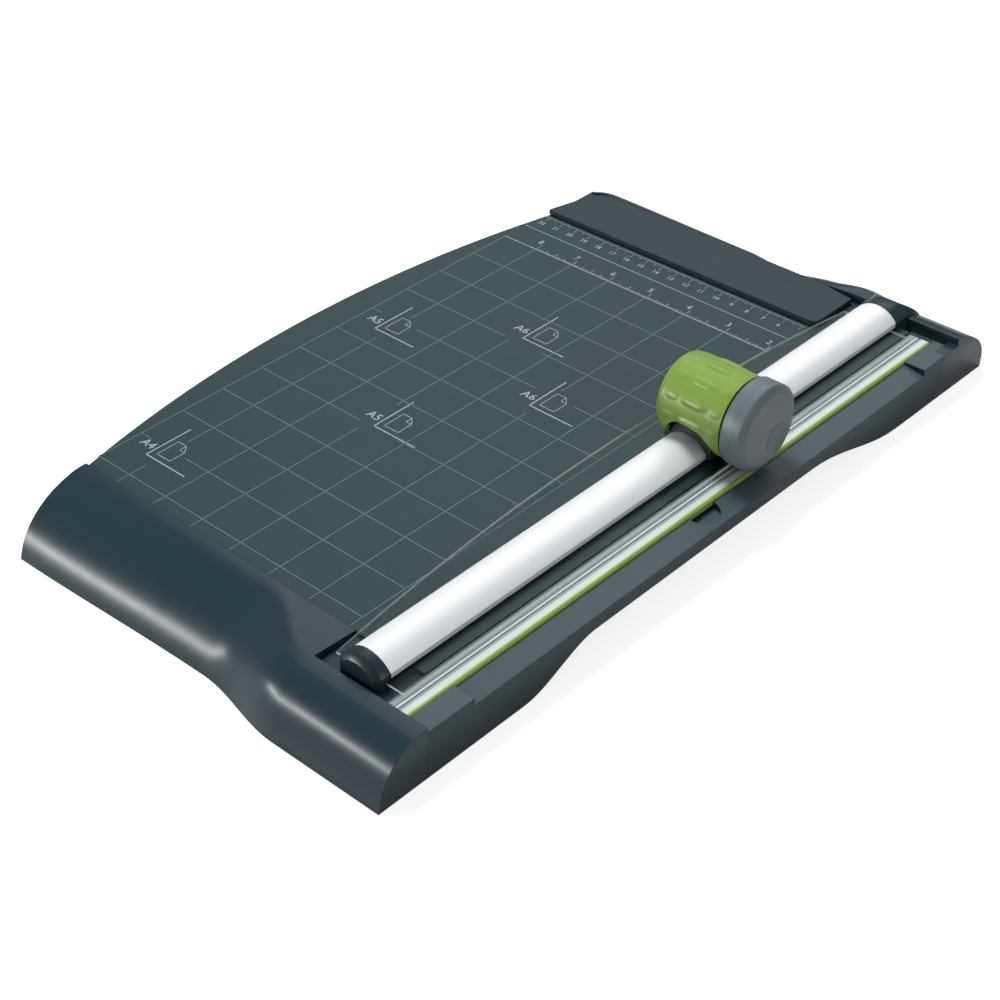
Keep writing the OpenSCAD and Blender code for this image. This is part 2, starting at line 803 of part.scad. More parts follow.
// Inner block: guide bores, spring seat and the wall behind the blade
module head_carrier() {
    x1 = barrel_r_end - barrel_t - 0.8;
    color("#5d666b")
        difference() {
            union() {
                block(saddle_x - 5.5, x1, carriage_y - carrier_w / 2, carriage_y + carrier_w / 2,
                    carrier_z, carrier_z + carrier_h);
                block(x1 - 2.6, x1, carriage_y - 7, carriage_y + 7, axle_z - 5, carrier_z + 1);
            }
            for (s = [-1, 1]) {
                rod_z(guide_r + guide_clear, saddle_x, carriage_y + s * post_pitch / 2,
                    carrier_z - 1, carrier_z + carrier_h + 1);
                rod_x(carrier_screw_r, x1 - 8, x1 + 1, carriage_y + s * 10, carrier_z + 5);
            }
            rod_z(spring_seat, saddle_x, carriage_y, carrier_z - 1, carrier_z + 4);
            rod_x(axle_r, axle_from, x1 + 1, carriage_y, axle_z);
        }
}

module carrier_screws() {
    head_x = barrel_r_end - 1.6;
    color("#9aa0a3")
        for (s = [-1, 1]) {
            rod_x(carrier_screw_r, barrel_r_end - 10, head_x, carriage_y + s * 10, carrier_z + 5);
            rod_x(carrier_screw_r * 1.9, head_x, head_x + 1.4, carriage_y + s * 10, carrier_z + 5);
        }
}

module blade_housing() {
    back = 0.7;
    color("#6a7378")
        difference() {
            rod_x(disc_r, disc_in, disc_split, carriage_y, axis_z);
            rod_x(cavity_r, disc_in + back, disc_split + 1, carriage_y, axle_z);
            rod_x(axle_r, disc_in - 1, disc_split, carriage_y, axle_z);
        }
}

module housing_cap() {
    w = disc_out - disc_split;
    bevel_w = 1.8;
    round_w = 2.6;
    dimple_r = 13.5;
    dimple_d = 2.5;
    ball_r = (dimple_r * dimple_r + dimple_d * dimple_d) / (2 * dimple_d);
    color("#747d82")
        difference() {
            translate([disc_split, carriage_y, axis_z]) rotate([0, 90, 0]) rotate_extrude($fn = 96)
                polygon([
                    [0, 0], [disc_r, 0], [disc_r, w - round_w],
                    [disc_r - 0.7, w - bevel_w], [face_r, w], [0, w]
                ]);
            translate([disc_out + ball_r - dimple_d, carriage_y, axis_z]) sphere(r = ball_r, $fn = 96);
            rod_x(axle_r, disc_split - 1, disc_split + 1.2, carriage_y, axle_z);
        }
}

module blade_axle() {
    color("#c4c8ca") rod_x(axle_r, axle_from, disc_split + 1.2, carriage_y, axle_z);
}

module axle_clip() {
    color("#9aa0a3")
        difference() {
            rod_x(axle_r + 1.6, disc_split - 1.2, disc_split - 0.6, carriage_y, axle_z);
            rod_x(axle_r, disc_split - 2, disc_split, carriage_y, axle_z);
        }
}

module blade_hub() {
    hub_x0 = cut_x - 0.4;
    hub_x1 = disc_split - 1.4;
    color("#3a3f42")
        difference() {
            union() {
                rod_x(hub_spigot, hub_x0, cut_x + blade_t, carriage_y, axle_z);
                rod_x(hub_r, cut_x + blade_t / 2, hub_x1, carriage_y, axle_z);
            }
            rod_x(axle_r + axle_clear, hub_x0 - 1, hub_x1 + 1, carriage_y, axle_z);
        }
}

module blade() {
    color("#cfd3d5")
        difference() {
            rod_x(blade_r, cut_x - blade_t / 2, cut_x + blade_t / 2, carriage_y, axle_z);
            rod_x(hub_spigot, cut_x - 1, cut_x + 1, carriage_y, axle_z);
        }
}

bed_plate();
chassis();
near_end_cover();
far_end_cover();
near_base_plate();
far_base_plate();
paper_stop();
cutting_strip();
clamp_strip();
rail();
rail_near_cap();
rail_far_plug();
rail_far_post();
rail_screws();
base_screws();
rubber_feet();
carriage_saddle();
glide_pads();
guide_posts();
return_spring();
head_cover();
head_carrier();
carrier_screws();
blade_housing();
housing_cap();
blade_axle();
axle_clip();
blade_hub();
blade();
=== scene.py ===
"""Looks of the rotary paper trimmer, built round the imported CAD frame.

Lengths below are millimetres in the CAD frame: +X to the cut side, +Y to the far end, +Z up.
"""

import math

import bmesh
import bpy
from mathutils import Matrix, Vector


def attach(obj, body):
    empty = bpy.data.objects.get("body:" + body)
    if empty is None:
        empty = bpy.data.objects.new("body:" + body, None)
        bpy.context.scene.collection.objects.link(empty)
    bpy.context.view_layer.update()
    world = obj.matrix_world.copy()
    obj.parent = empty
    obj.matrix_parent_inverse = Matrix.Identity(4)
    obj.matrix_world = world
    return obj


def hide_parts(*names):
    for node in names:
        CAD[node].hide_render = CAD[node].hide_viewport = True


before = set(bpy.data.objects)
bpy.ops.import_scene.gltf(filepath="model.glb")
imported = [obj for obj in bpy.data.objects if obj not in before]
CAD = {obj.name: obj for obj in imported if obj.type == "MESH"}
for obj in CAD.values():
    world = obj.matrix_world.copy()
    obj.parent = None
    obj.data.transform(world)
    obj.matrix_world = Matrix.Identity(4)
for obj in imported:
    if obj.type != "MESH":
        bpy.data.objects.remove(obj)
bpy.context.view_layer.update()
MM = 0.001

# ---------------------------------------------------------------- sizes of the part
BASE_L, BASE_W, BED_H = 436.0, 261.3, 28.0
NEAR, FAR, SIDE = -BASE_L / 2, BASE_L / 2, BASE_W / 2
CUT = SIDE - 18.3
BED_NEAR = NEAR + 49.8
STOP_Y = BED_NEAR + 320.8
COVER_NEAR = STOP_Y + 34.5
BED_LEFT = 20 - BASE_W / 2
ENDS_LEFT = BED_LEFT - 1.2
DRAFT, SIDE_T, COVER_T = 3.0, 2.7, 2.6
WALL_IN = SIDE - DRAFT - SIDE_T
RECESS_X, RECESS_Y, RECESS_Z = 66.0, NEAR + 26.3, BED_H - 2
POCKET_Y = STOP_Y + 28
SIDE_END = POCKET_Y - 5
PAD_Z = BED_H - 0.4
NEAR_RISE, FAR_RISE = 0.5, 3.4
NEAR_LEFT = [(NEAR + 46, 1.2), (NEAR + 13, -6), (NEAR + 5.5, -BED_H)]
NEAR_RIGHT = [(NEAR + 24.5, 1.8), (NEAR + 0.8, 1.4), (NEAR, -BED_H)]
FAR_LEFT = [(COVER_NEAR + 1.5, 4.4), (FAR - 17, -2), (FAR - 4, -BED_H)]
FAR_RIGHT = [(COVER_NEAR + 2.7, 4.2), (FAR - 0.2, -7), (FAR, -BED_H)]
WAIST, STEP_FROM, STEP_TO = 3.0, 14.0, 66.0
CLAMP_Z = BED_H + 1.0
RAIL_Z = CLAMP_Z + 1.2
RAIL_W, RAIL_X = 23.2, CUT - 24.45
RAIL_L, RAIL_R = RAIL_X - RAIL_W / 2, RAIL_X + RAIL_W / 2
RAIL_SIDE, RAIL_DOME = 2.4, 6.0
RAIL_TOP = RAIL_Z + RAIL_SIDE + RAIL_DOME
DOME_R = (RAIL_W * RAIL_W / 4 + RAIL_DOME * RAIL_DOME) / (2 * RAIL_DOME)
RAIL_NEAR, RAIL_FAR = RECESS_Y + 10.4, POCKET_Y + 2
SLOT_Z, SLOT_H, SLOT_D = RAIL_Z + 0.6, 0.9, 0.9
CAP_L = 7.7
HEAD_Y, AXIS_Z = 36.4, BED_H + 22.7
BARREL_L, BARREL_END = CUT - 39.9, CUT - 1.4
DISC_R, DISC_IN, DISC_SPLIT, DISC_OUT = 21.5, CUT - 1.2, CUT + 5.4, CUT + 11.6
AXLE_Z = BED_H + 1 - 0.4 + 14
ARCH_X, ARCH_Z, ARCH_R = CUT - 20.4, BED_H + 7.8, 14.0
ARCH_LEG = BED_H + 8.5 + 1.3
ARCH_LEFT = RAIL_L - 0.25 - 0.9 - 0.3
HEAD_LOW = RAIL_Z + 1.3
AXLE_R = 2.0
HOOD_WALL = 0.6
NEAR_CORNERS, FAR_CORNERS = (12.0, 2.5), (15.0, 3.0)


# ---------------------------------------------------------------- mesh helpers
def new_object(name, verts, faces):
    mesh = bpy.data.meshes.new(name)
    mesh.from_pydata([(x * MM, y * MM, z * MM) for x, y, z in verts], [], faces)
    mesh.validate()
    mesh.update()
    obj = bpy.data.objects.new(name, mesh)
    bpy.context.scene.collection.objects.link(obj)
    return obj


def outward(obj):
    """Makes the faces of a closed mesh point outward."""
    bm = bmesh.new()
    bm.from_mesh(obj.data)
    bmesh.ops.recalc_face_normals(bm, faces=bm.faces)
    bm.to_mesh(obj.data)
    bm.free()
    return obj


def rings_to_solid(name, rings):
    """Closed solid through a list of rings that all have the same number of points."""
    n, m = len(rings[0]), len(rings)
    verts = [v for ring in rings for v in ring]
    faces = []
    for i in range(m - 1):
        for j in range(n):
            k = (j + 1) % n
            faces.append((i * n + j, i * n + k, (i + 1) * n + k, (i + 1) * n + j))
    faces.append(tuple(range(n - 1, -1, -1)))
    faces.append(tuple((m - 1) * n + j for j in range(n)))
    return outward(new_object(name, verts, faces))


def prism_y(name, profile, y0, y1):
    return rings_to_solid(name, [[(x, y, z) for x, z in profile] for y in (y0, y1)])


def prism_z(name, outline, z0, z1):
    return rings_to_solid(name, [[(x, y, z) for x, y in outline] for z in (z0, z1)])


def block(name, x0, x1, y0, y1, z0, z1):
    return prism_z(name, [(x0, y0), (x1, y0), (x1, y1), (x0, y1)], z0, z1)


def rod(name, radius, axis, centre, a0, a1, n=96):
    """Cylinder along x, y or z; centre gives the two other coordinates."""
    rings = []
    for a in (a0, a1):
        ring = []
        for i in range(n):
            t = 2 * math.pi * i / n
            p, q = centre[0] + radius * math.cos(t), centre[1] + radius * math.sin(t)
            ring.append({"x": (a, p, q), "y": (p, a, q), "z": (p, q, a)}[axis])
        rings.append(ring)
    return rings_to_solid(name, rings)


def bake(obj):
    """Applies an object's modifiers."""
    graph = bpy.context.evaluated_depsgraph_get()
    mesh = bpy.data.meshes.new_from_object(obj.evaluated_get(graph))
    obj.modifiers.clear()
    old, obj.data = obj.data, mesh
    bpy.data.meshes.remove(old)
    return obj


def boolean(obj, other, how="DIFFERENCE"):
    mod = obj.modifiers.new("cut", "BOOLEAN")
    mod.operation, mod.solver, mod.object = how, "EXACT", other
    bake(obj)
    bpy.data.objects.remove(other)
    return obj


def capped_rings(name, verts, n, ends):
    """Closed mesh of rings of n points, closed by fans to the middle point of each end."""
    m = len(verts) // n
    faces = []
    for i in range(m - 1):
        for j in range(n):
            k = (j + 1) % n
            faces.append((i * n + j, i * n + k, (i + 1) * n + k, (i + 1) * n + j))
    for j in range(n):
        k = (j + 1) % n
        faces.append((m * n, k, j))
        faces.append((m * n + 1, (m - 1) * n + j, (m - 1) * n + k))
    return outward(new_object(name, verts + ends, faces))


def lathe_x(name, profile, y, z, n=160):
    """Solid of revolution about a line along X; the profile is (x, r) from axis to axis."""
    verts = []
    for x, r in profile:
        for i in range(n):
            t = 2 * math.pi * i / n
            verts.append((x, y + r * math.sin(t), z + r * math.cos(t)))
    return capped_rings(name, verts, n, [(profile[0][0], y, z), (profile[-1][0], y, z)])


def arc(cx, cy, r, a0, a1, n):
    """Points of an arc in degrees, both ends included."""
    return [
        (
            cx + r * math.cos(math.radians(a0 + (a1 - a0) * i / n)),
            cy + r * math.sin(math.radians(a0 + (a1 - a0) * i / n)),
        )
        for i in range(n + 1)
    ]


def finish_piece(obj, mat, body, nodes=(), angle=32):
    obj.data.materials.clear()
    obj.data.materials.append(mat)
    obj.data.shade_smooth()
    obj.data.set_sharp_from_angle(angle=math.radians(angle))
    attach(obj, body)
    if nodes:
        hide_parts(*nodes)
    return obj


# ---------------------------------------------------------------- materials
def srgb(r, g, b):
    def lin(c):
        c /= 255
        return c / 12.92 if c <= 0.04045 else ((c + 0.055) / 1.055) ** 2.4

    return (lin(r), lin(g), lin(b), 1.0)


class Mat:
    """Small builder for a node material."""

    def __init__(self, name):
        self.mat = bpy.data.materials.new(name)
        self.mat.use_nodes = True
        self.tree = self.mat.node_tree
        self.nodes = self.tree.nodes
        self.bsdf = self.nodes["Principled BSDF"]
        self.coord = self.nodes.new("ShaderNodeTexCoord").outputs["Object"]

    def node(self, kind, **values):
        made = self.nodes.new(kind)
        for key, value in values.items():
            key = key.replace("_", " ")
            if key in made.inputs:
                made.inputs[key].default_value = value
        return made

    def link(self, a, b):
        self.tree.links.new(a, b)

    def noise(self, scale, detail=4.0, stretch=(1, 1, 1), rough=0.5):
        mapping = self.nodes.new("ShaderNodeMapping")
        mapping.inputs["Scale"].default_value = stretch
        self.link(self.coord, mapping.inputs["Vector"])
        tex = self.node("ShaderNodeTexNoise", Scale=scale, Detail=detail, Roughness=rough)
        self.link(mapping.outputs["Vector"], tex.inputs["Vector"])
        return tex.outputs["Fac"]

    def ramp(self, fac, lo, hi):
        made = self.node("ShaderNodeMapRange")
        made.inputs["To Min"].default_value = lo
        made.inputs["To Max"].default_value = hi
        self.link(fac, made.inputs["Value"])
        return made.outputs["Result"]

    def calc(self, operation, *values):
        """Output of a Math node whose inputs are numbers or outputs of other nodes."""
        made = self.nodes.new("ShaderNodeMath")
        made.operation = operation
        for place, value in zip(made.inputs, values):
            if isinstance(value, float):
                place.default_value = value
            else:
                self.link(value, place)
        return made.outputs[0]

    def axis(self, vector, name):
        split = self.nodes.new("ShaderNodeSeparateXYZ")
        self.link(vector, split.inputs[0])
        return split.outputs[name]

    def blend(self, fac, first, second):
        """Mix of two shaders."""
        made = self.nodes.new("ShaderNodeMixShader")
        for place, value in zip(made.inputs, (fac, first, second)):
            self.link(value, place)
        return made.outputs[0]

    def top_colour(self, colour, x_from):
        """Mixes in a second colour on the up-facing faces beyond a place in x, used as painted
        light on lit tops.
        """
        plain = self.bsdf.inputs["Base Color"].links[0].from_socket
        normal = self.nodes.new("ShaderNodeNewGeometry").outputs["True Normal"]
        upward = self.calc("GREATER_THAN", self.axis(normal, "Z"), 0.7)
        beyond = self.calc("GREATER_THAN", self.axis(self.coord, "X"), x_from * MM)
        both = self.nodes.new("ShaderNodeMix")
        both.data_type = "RGBA"
        self.link(self.calc("MULTIPLY", upward, beyond), both.inputs["Factor"])
        self.link(plain, both.inputs["A"])
        both.inputs["B"].default_value = srgb(*colour)
        self.link(both.outputs["Result"], self.bsdf.inputs["Base Color"])

    def tint(self, base, fac, amount):
        """Base colour that a noise makes slightly lighter and darker."""
        mix = self.nodes.new("ShaderNodeMix")
        mix.data_type = "RGBA"
        mix.inputs["A"].default_value = tuple(c * (1 - amount) for c in base[:3]) + (1,)
        mix.inputs["B"].default_value = tuple(min(1, c * (1 + amount)) for c in base[:3]) + (1,)
        self.link(fac, mix.inputs["Factor"])
        self.link(mix.outputs["Result"], self.bsdf.inputs["Base Color"])

    def surface(self, height, strength, distance, edge):
        """Grain as bump over edges that look rounded by the given radius in mm."""
        bump = self.node("ShaderNodeBump", Strength=strength, Distance=distance * MM)
        self.link(height, bump.inputs["Height"])
        if edge:
            bevel = self.nodes.new("ShaderNodeBevel")
            bevel.samples = 4
            bevel.inputs["Radius"].default_value = edge * MM
            self.link(bevel.outputs["Normal"], bump.inputs["Normal"])
        self.link(bump.outputs["Normal"], self.bsdf.inputs["Normal"])


def plastic(
    name, colour, rough=0.42, grain=2600, strength=0.25, edge=0.45, spec=0.5, spread=0.05, top=None
):
    """Moulded plastic; top is a second colour for the up-facing faces, used as painted light on lit
    tops, and the x it starts at.
    """
    m = Mat(name)
    m.tint(srgb(*colour), m.noise(35, 6), spread)
    if top:
        m.top_colour(*top)
    m.bsdf.inputs["Specular IOR Level"].default_value = spec
    fine = m.noise(grain, 3)
    m.link(m.ramp(m.noise(120, 5), rough - 0.04, rough + 0.05), m.bsdf.inputs["Roughness"])
    m.surface(fine, strength, 0.06, edge)
    return m.mat


def metal(name, colour, rough=0.28, stretch=(1, 1, 1), scale=900, edge=0.2, aniso=0.0):
    m = Mat(name)
    m.tint(srgb(*colour), m.noise(scale, 3, stretch), 0.05)
    m.bsdf.inputs["Metallic"].default_value = 1.0
    m.bsdf.inputs["Anisotropic"].default_value = aniso
    uneven = m.ramp(m.noise(scale, 5, stretch), rough - 0.05, rough + 0.08)
    m.link(uneven, m.bsdf.inputs["Roughness"])
    m.surface(m.noise(scale * 1.6, 2, stretch), 0.08, 0.02, edge)
    return m.mat


def clear(name):
    """Clear strip: sees through its faces; its side faces are painted pale in patches, a painted
    highlight for the light its edges catch.
    """
    m = Mat(name)
    geo = m.nodes.new("ShaderNodeNewGeometry")
    see = m.node("ShaderNodeBsdfTransparent")
    see.inputs["Color"].default_value = (0.93, 0.96, 0.96, 1)
    gloss = m.node("ShaderNodeBsdfGlossy", Roughness=0.06)
    fresnel = m.node("ShaderNodeFresnel", IOR=1.45)
    front = m.calc("SUBTRACT", 1.0, geo.outputs["Backfacing"])
    shine = m.calc("MULTIPLY", fresnel.outputs["Fac"], m.ramp(front, 0.0, 0.3))
    face = m.blend(shine, see.outputs[0], gloss.outputs[0])
    # Painted highlight: steep side faces are mixed in patches with a pale diffuse colour for the
    # light their edges catch.
    rim = m.node("ShaderNodeBsdfDiffuse")
    rim.inputs["Color"].default_value = (0.72, 0.8, 0.8, 1)
    steep = m.calc("LESS_THAN", m.calc("ABSOLUTE", m.axis(geo.outputs["True Normal"], "Z")), 0.5)
    part = m.calc("MULTIPLY", steep, m.ramp(m.noise(60, 3, (1, 0.2, 1)), 0.6, 0.9))
    m.link(m.blend(part, face, rim.outputs[0]), m.nodes["Material Output"].inputs["Surface"])
    return m.mat


def blade_steel(name):
    """Ground steel whose roughness varies in fine rings round the axle."""
    m = Mat(name)
    m.tint(srgb(205, 208, 211), m.noise(700, 3), 0.06)
    m.bsdf.inputs["Metallic"].default_value = 1.0
    wave = m.node("ShaderNodeTexWave", Scale=900.0, Distortion=0.6)
    wave.wave_type, wave.rings_direction = "RINGS", "X"
    mapping = m.nodes.new("ShaderNodeMapping")
    mapping.inputs["Location"].default_value = (-CUT * MM, -HEAD_Y * MM, -AXLE_Z * MM)
    m.link(m.coord, mapping.inputs["Vector"])
    m.link(mapping.outputs["Vector"], wave.inputs["Vector"])
    m.link(m.ramp(wave.outputs["Fac"], 0.16, 0.3), m.bsdf.inputs["Roughness"])
    m.surface(wave.outputs["Fac"], 0.05, 0.01, 0)
    return m.mat


def strip_material(name):
    """Green strip with a pale band along the cut line, and painted shade: shadow lines along the
    clear clamp strip, grey half shade beside it and in the cut groove, and deeper green in the
    rail's shade.
    """
    m = Mat(name)
    half = 7.0
    across = m.node("ShaderNodeMapRange")
    across.inputs["From Min"].default_value = (CUT - half) * MM
    across.inputs["From Max"].default_value = (CUT + half) * MM
    m.link(m.axis(m.coord, "X"), across.inputs["Value"])
    ramp = m.nodes.new("ShaderNodeValToRGB")
    # Painted shade: deep is the green in the rail's shade, the blackish stops are painted shadow
    # lines of the clamp strip, and grey is painted half shade beside the clamp and in the cut
    # groove.
    green, deep = srgb(122, 146, 62), srgb(70, 84, 44)
    pale, grey, shadow_line = srgb(182, 187, 187), srgb(128, 136, 138), srgb(74, 84, 88)
    stops = (
        (-half, deep), (-5.2, shadow_line), (-4.3, grey), (-2.6, grey), (-1.9, shadow_line), (-1.2, pale),
        (-0.2, pale), (0.6, grey), (1.4, grey), (2.0, pale), (4.6, pale), (5.2, green),
        (half, green),
    )
    ramp.color_ramp.elements[0].position = 0.0
    ramp.color_ramp.elements[0].color = stops[0][1]
    ramp.color_ramp.elements[1].position = 1.0
    ramp.color_ramp.elements[1].color = stops[-1][1]
    for x, colour in stops[1:-1]:
        ramp.color_ramp.elements.new((x + half) / (2 * half)).color = colour
    m.link(across.outputs["Result"], ramp.inputs["Fac"])
    m.link(ramp.outputs["Color"], m.bsdf.inputs["Base Color"])
    m.link(m.ramp(m.noise(90, 4, (1, 0.1, 1)), 0.2, 0.34), m.bsdf.inputs["Roughness"])
    m.surface(m.noise(700, 3, (1, 0.2, 1)), 0.08, 0.03, 0.25)
    return m.mat


SLATE = plastic("slate_plastic", (26, 46, 52), rough=0.29, spec=0.38, strength=0.06, spread=0.03)
# Painted light: the chassis's up-facing faces beyond the strip get a lighter slate, as tops the
# lamps light.
LEDGE = plastic(
    "slate_grain_lit_top", (25, 46, 52), rough=0.42, spec=0.4, grain=3000, strength=0.14, edge=0.8,
    top=((58, 73, 77), CUT + 6.5),
)
STOP = plastic("slate_matt", (23, 42, 47), rough=0.42, spec=0.4)
BED = plastic(
    "bed_print", (37, 54, 57), rough=0.5, spec=0.35, grain=3600, strength=0.12, edge=0.4,
    spread=0.03,
)
PAN = plastic("pan_plastic", (28, 34, 37), rough=0.55, strength=0.5)
STRIP = strip_material("strip_green")
CLEAR = clear("clear_plastic")
RAIL_M = metal("anodised", (232, 235, 238), rough=0.46, stretch=(6, 0.05, 6), scale=400, edge=0.25)
RAIL_M.node_tree.nodes["Principled BSDF"].inputs["Metallic"].default_value = 0.4
CAP = plastic("cap_grey", (24, 38, 43), rough=0.34)
STEEL = metal("steel", (165, 168, 171), rough=0.3)
RUBBER = plastic("rubber", (24, 24, 25), rough=0.8, grain=1500, strength=0.6)
SADDLE = plastic("saddle_grey", (34, 46, 53), rough=0.45)
ACETAL = plastic("acetal", (232, 232, 226), rough=0.4, strength=0.1)
SPRING = metal("spring_steel", (190, 192, 195), rough=0.2)
GREEN = plastic("head_green", (109, 136, 56), rough=0.36, grain=2200, strength=0.3, edge=0.4)
GREY = plastic("disc_grey", (86, 96, 100), rough=0.4, grain=2600, strength=0.3, edge=0.35)
BLADE = blade_steel("blade_steel")
HUB = plastic("hub_black", (24, 25, 27), rough=0.35)
INK = plastic("print_ink", (140, 152, 157), rough=0.5, strength=0.05, edge=0)
INK_SOFT = plastic("print_ink_soft", (88, 103, 108), rough=0.5, strength=0.05, edge=0)


# ---------------------------------------------------------------- end covers
def mix(a, b, t):
    return a + (b - a) * t


def smooth(t):
    t = max(0.0, min(1.0, t))
    return t * t * (3 - 2 * t)


def shoulder(p, n=40):
    pts = []
    for i in range(n + 1):
        t = i / n
        w = ((1 - t) ** 2, 2 * t * (1 - t), t * t)
        pts.append(tuple(sum(w[k] * p[k][c] for k in range(3)) for c in (0, 1)))
    return pts


def height_at(line, y):
    """Height of a polyline at a place; outside its ends the end heights hold."""
    pts = sorted(line)
    if y <= pts[0][0]:
        return pts[0][1]
    for a, b in zip(pts, pts[1:]):
        if y <= b[0]:
            return mix(a[1], b[1], (y - a[0]) / max(b[0] - a[0], 1e-9))
    return pts[-1][1]


def soften(line, middle, reach):
    """Rounds the bend of a profile at a place by averaging heights on both sides of it."""
    out = []
    for y, z in line:
        near = 1 - abs(y - middle) / reach
        if near > 0:
            window = reach * 0.6 * smooth(near * 2)
            z = sum(height_at(line, y + window * d / 3) for d in range(-3, 4)) / 7
        out.append((y, z))
    return out


def crest(x):
    """Rise of the far cover's crest: a dip, a swell beside the rail, a drop at the left end."""

    def bump(mid, w):
        return smooth(1 - abs(x - mid) / w)

    fall = 1 - min(1.0, (x - ENDS_LEFT) / 17)
    return 3 * bump(69, 22) - 2.8 * bump(24, 26) - 8 * (1 - math.sqrt(1 - fall * fall))


def cover_ring(x, left, right, direction, inner_y, t, base_z):
    waist = WAIST * smooth((x - ENDS_LEFT) / (STEP_FROM - ENDS_LEFT))
    s = smooth((x - STEP_FROM) / (STEP_TO - STEP_FROM))
    p = [
        [left[0][0], left[0][1]],
        [left[1][0] - direction * waist, left[1][1]],
        [left[2][0] - direction * waist, left[2][1]],
    ]
    p = [[mix(a[0], b[0], s), mix(a[1], b[1], s)] for a, b in zip(p, right)]
    if direction > 0:
        p = [[p[0][0], p[0][1] + crest(x)], [p[1][0], p[1][1] + crest(x)], p[2]]
    rise = min(NEAR_RISE if direction < 0 else FAR_RISE, p[0][1])
    if t > 0:
        first = direction * max(direction * p[0][0], direction * inner_y + 0.5)
        p = [
            [first, p[0][1] - t],
            [p[1][0] - direction * t, p[1][1] - t],
            [p[2][0] - direction * t, 0],
        ]
    p[2][1] = base_z - BED_H
    deck = [(mix(inner_y, p[0][0], i / 24), mix(rise - t, p[0][1], i / 24)) for i in range(24)]
    line = soften(deck + shoulder(p), p[0][0], 7.0)
    pts = [(inner_y, base_z)] + [(y, z + BED_H) for y, z in line]
    return [(x, y, z) for y, z in pts]


def cover_solid(name, left, right, direction, x0, x1, inner_y, t, base_z, n=90):
    xs = {round(mix(x0, x1, i / n), 4) for i in range(n + 1)} | {STEP_FROM, STEP_TO}
    xs = sorted(xs | {x0 + d for d in (0.15, 0.5, 1.0, 1.8)})
    return rings_to_solid(
        name, [cover_ring(x, left, right, direction, inner_y, t, base_z) for x in xs]
    )


def envelope():
    profile = [
        (ENDS_LEFT, BED_H + 12), (ENDS_LEFT, BED_H - 4), (ENDS_LEFT + DRAFT, -1),
        (SIDE - DRAFT, -1), (SIDE, BED_H - 4), (SIDE, BED_H + 12),
    ]
    return prism_y("envelope", profile, NEAR - 5, FAR + 5)


def rounded_plan(corners, direction):
    """Plan of one end whose two outer corners are rounded by the given radii."""
    r_left, r_right = corners
    end = FAR if direction > 0 else NEAR
    a, b = ENDS_LEFT, SIDE
    pts = [(a, 0), (b, 0)]
    if direction > 0:
        pts += arc(b - r_right, end - r_right, r_right, 0, 90, 16)
        pts += arc(a + r_left, end - r_left, r_left, 90, 180, 16)
    else:
        pts += arc(b - r_right, end + r_right, r_right, 0, -90, 16)
        pts += arc(a + r_left, end + r_left, r_left, -90, -180, 16)
    return prism_z("plan", pts, -1, BED_H + 14)


def build_near_cover():
    body = cover_solid("near_cover", NEAR_LEFT, NEAR_RIGHT, -1, ENDS_LEFT, SIDE, BED_NEAR, 0, 0)
    boolean(body, envelope(), "INTERSECT")
    boolean(body, rounded_plan(NEAR_CORNERS, -1), "INTERSECT")
    hollow = cover_solid(
        "hollow", NEAR_LEFT, NEAR_RIGHT, -1, ENDS_LEFT + DRAFT + COVER_T, WALL_IN,
        BED_NEAR - COVER_T, COVER_T, -2, 40,
    )
    keep = block("keep", RECESS_X - COVER_T, SIDE, RECESS_Y - COVER_T, BED_NEAR + 1, -3, BED_H + 9)
    boolean(hollow, keep)
    boolean(body, hollow)
    boolean(body, block("recess", RECESS_X, SIDE + 1, RECESS_Y, BED_NEAR + 1, -1, BED_H + 9))
    return finish_piece(body, SLATE, "base", ["near_end_cover"])


def dome_points(grow=0.0, n=40):
    """Dome of the rail's section from its right shoulder over the top to its left shoulder."""
    half = RAIL_W / 2 + grow
    radius = DOME_R + grow
    centre = RAIL_TOP - DOME_R
    reach = math.degrees(math.asin(half / radius)) if half < radius else 90.0
    return arc(RAIL_X, centre, radius, 90 - reach, 90 + reach, n)


def build_far_cover():
    body = cover_solid("far_cover", FAR_LEFT, FAR_RIGHT, 1, ENDS_LEFT, SIDE, COVER_NEAR, 0, 0)
    boolean(body, envelope(), "INTERSECT")
    boolean(body, rounded_plan(FAR_CORNERS, 1), "INTERSECT")
    hollow = cover_solid(
        "hollow", FAR_LEFT, FAR_RIGHT, 1, ENDS_LEFT + DRAFT + COVER_T, WALL_IN,
        COVER_NEAR + COVER_T, COVER_T, -2, 40,
    )
    boolean(body, hollow)
    side = block("side", WALL_IN, SIDE, SIDE_END, COVER_NEAR + 1, 0, PAD_Z)
    boolean(side, envelope(), "INTERSECT")
    boolean(body, side, "UNION")
    hood_near, hood_far = POCKET_Y - 3, COVER_NEAR + 12
    arch = [(RAIL_L - HOOD_WALL, BED_H), (RAIL_R + HOOD_WALL, BED_H)] + dome_points(HOOD_WALL)
    hood = prism_y("hood", arch, hood_near, hood_far)
    fall = [(hood_near, BED_H), (hood_near, RAIL_TOP + HOOD_WALL)]
    for i in range(25):
        d = (hood_far - RAIL_FAR - 1) * i / 24
        fall.append((RAIL_FAR + 1 + d, RAIL_TOP + 0.5 - 0.25 * d - 0.03 * d * d))
    fall.append((hood_far, BED_H))
    side_view = [[(x, y, z) for y, z in fall] for x in (RAIL_L - 5, RAIL_R + 5)]
    boolean(hood, rings_to_solid("fall", side_view), "INTERSECT")
    boolean(body, hood, "UNION")
    boolean(body, block("under", ENDS_LEFT - 1, WALL_IN, COVER_NEAR - 1, COVER_NEAR + 3, 15, BED_H))
    room = [(RAIL_L, BED_H - 1), (RAIL_R, BED_H - 1)] + dome_points(0.0)
    boolean(body, prism_y("room", room, hood_near - 1, RAIL_FAR))
    return finish_piece(body, SLATE, "base", ["far_end_cover"])


